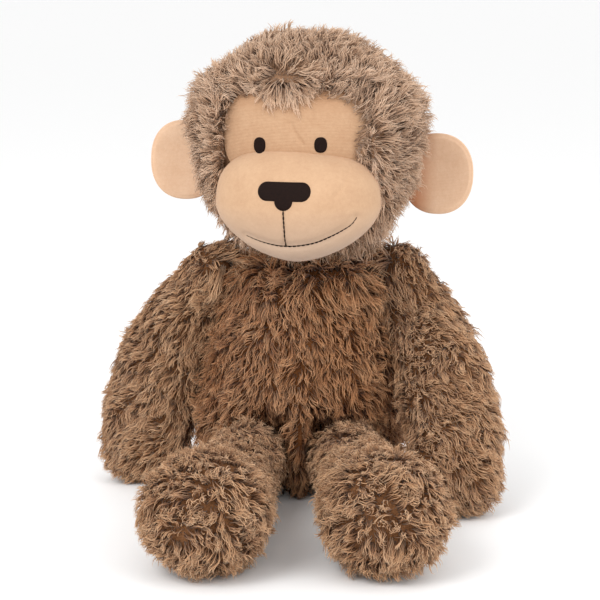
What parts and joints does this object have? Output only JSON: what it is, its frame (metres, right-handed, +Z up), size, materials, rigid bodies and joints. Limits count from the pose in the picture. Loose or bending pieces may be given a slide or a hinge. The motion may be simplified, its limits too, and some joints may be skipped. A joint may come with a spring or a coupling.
{
  "type": "stuffed monkey",
  "caption": "Seated plush monkey with long wavy fur, smooth cloth face and ears, embroidered features and limbs, head, ears and tail that move.",
  "frame": {"origin": "on the surface the toy sits on, under the middle of the torso's seat", "axes": "+Z up, the toy faces -Y, its own left is +X"},
  "size_m": [0.2173, 0.294, 0.253],
  "materials": {
    "head_fur": "long wavy pile, taupe with pale tips",
    "body_fur": "long wavy pile, warm brown with pale tips",
    "limb_fur": "long wavy pile, mid brown with tan tips",
    "face_cloth": "short smooth velour, peach",
    "embroidery": "satin stitch and back stitch, dark brown",
    "fibre_filling": "white polyester fibre",
    "pellet_bag": "plain woven bag of plastic pellets",
    "seam_cloth": "woven backing, stitched"
  },
  "bodies": {
    "torso": {"torso_front_panel": "body_fur", "torso_back_panel": "body_fur", "torso_stuffing": "fibre_filling", "seat_pellet_bag": "pellet_bag"},
    "neck_seam": {"neck_seam": "seam_cloth"},
    "neck_stuffing": {"neck_stuffing": "fibre_filling"},
    "head": {"head_front_panel": "head_fur", "head_back_panel": "head_fur", "head_stuffing": "fibre_filling", "brow_panel": "face_cloth", "muzzle_panel": "face_cloth", "muzzle_stuffing": "fibre_filling", "right_eye": "embroidery", "left_eye": "embroidery", "nose": "embroidery", "mouth_centre_stitch": "embroidery", "smile_stitch": "embroidery"},
    "right_ear": {"right_ear_front": "face_cloth", "right_ear_back": "face_cloth"},
    "left_ear": {"left_ear_front": "face_cloth", "left_ear_back": "face_cloth"},
    "right_shoulder": {"right_shoulder_seam": "seam_cloth"},
    "right_arm": {"right_arm_inner_panel": "limb_fur", "right_arm_outer_panel": "limb_fur", "right_arm_stuffing": "fibre_filling"},
    "left_shoulder": {"left_shoulder_seam": "seam_cloth"},
    "left_arm": {"left_arm_inner_panel": "limb_fur", "left_arm_outer_panel": "limb_fur", "left_arm_stuffing": "fibre_filling"},
    "right_hip": {"right_hip_seam": "seam_cloth"},
    "right_leg": {"right_leg_inner_panel": "limb_fur", "right_leg_outer_panel": "limb_fur", "right_leg_stuffing": "fibre_filling", "right_foot_pellet_bag": "pellet_bag"},
    "left_hip": {"left_hip_seam": "seam_cloth"},
    "left_leg": {"left_leg_inner_panel": "limb_fur", "left_leg_outer_panel": "limb_fur", "left_leg_stuffing": "fibre_filling", "left_foot_pellet_bag": "pellet_bag"},
    "tail": {"tail_panel": "body_fur", "tail_stuffing": "fibre_filling"}
  },
  "joints": [
    {"name": "head_turn", "type": "hinge", "parent": "torso", "child": "neck_seam", "pos_m": [0.00425, 0.001, 0.136], "axis": [0, 0, 1], "range_deg": [-35, 40]},
    {"name": "head_nod", "type": "hinge", "parent": "neck_seam", "child": "neck_stuffing", "pos_m": [0.00425, 0.001, 0.136], "axis": [0.9877, -0.1564, 0], "range_deg": [-12, 9]},
    {"name": "head_tilt", "type": "hinge", "parent": "neck_stuffing", "child": "head", "pos_m": [0.00425, 0.001, 0.136], "axis": [0.1564, 0.9877, 0], "range_deg": [-8, 8]},
    {"name": "right_ear_fold", "type": "hinge", "parent": "head", "child": "right_ear", "pos_m": [-0.04838, 0.01658, 0.18059], "axis": [-0.0103, 0.0016, -0.9999], "range_deg": [-25, 50], "stiffness_Nm_per_rad": 0.02},
    {"name": "left_ear_fold", "type": "hinge", "parent": "head", "child": "left_ear", "pos_m": [0.0622, -0.00093, 0.17541], "axis": [0.0103, -0.0016, 0.9999], "range_deg": [-25, 50], "stiffness_Nm_per_rad": 0.02},
    {"name": "right_arm_swing", "type": "hinge", "parent": "torso", "child": "right_shoulder", "pos_m": [-0.04867, 0, 0.122], "axis": [-1, 0, 0], "range_deg": [-40, 85]},
    {"name": "right_arm_lift", "type": "hinge", "parent": "right_shoulder", "child": "right_arm", "pos_m": [-0.04867, 0, 0.122], "axis": [0, 1, 0], "range_deg": [0, 70]},
    {"name": "left_arm_swing", "type": "hinge", "parent": "torso", "child": "left_shoulder", "pos_m": [0.05629, 0, 0.122], "axis": [-1, 0, 0], "range_deg": [-40, 85]},
    {"name": "left_arm_lift", "type": "hinge", "parent": "left_shoulder", "child": "left_arm", "pos_m": [0.05629, 0, 0.122], "axis": [0, -1, 0], "range_deg": [0, 70]},
    {"name": "right_leg_swing", "type": "hinge", "parent": "torso", "child": "right_hip", "pos_m": [-0.028, -0.04, 0.023], "axis": [1, 0, 0], "range_deg": [-30, 80]},
    {"name": "right_leg_spread", "type": "hinge", "parent": "right_hip", "child": "right_leg", "pos_m": [-0.028, -0.04, 0.023], "axis": [0, 0, -1], "range_deg": [0, 35]},
    {"name": "left_leg_swing", "type": "hinge", "parent": "torso", "child": "left_hip", "pos_m": [0.028, -0.04, 0.023], "axis": [1, 0, 0], "range_deg": [-30, 80]},
    {"name": "left_leg_spread", "type": "hinge", "parent": "left_hip", "child": "left_leg", "pos_m": [0.028, -0.04, 0.023], "axis": [0, 0, 1], "range_deg": [0, 14]},
    {"name": "tail_swing", "type": "hinge", "parent": "torso", "child": "tail", "pos_m": [0, 0.0513, 0.02], "axis": [0, 0, 1], "range_deg": [-20, 60]}
  ]
}
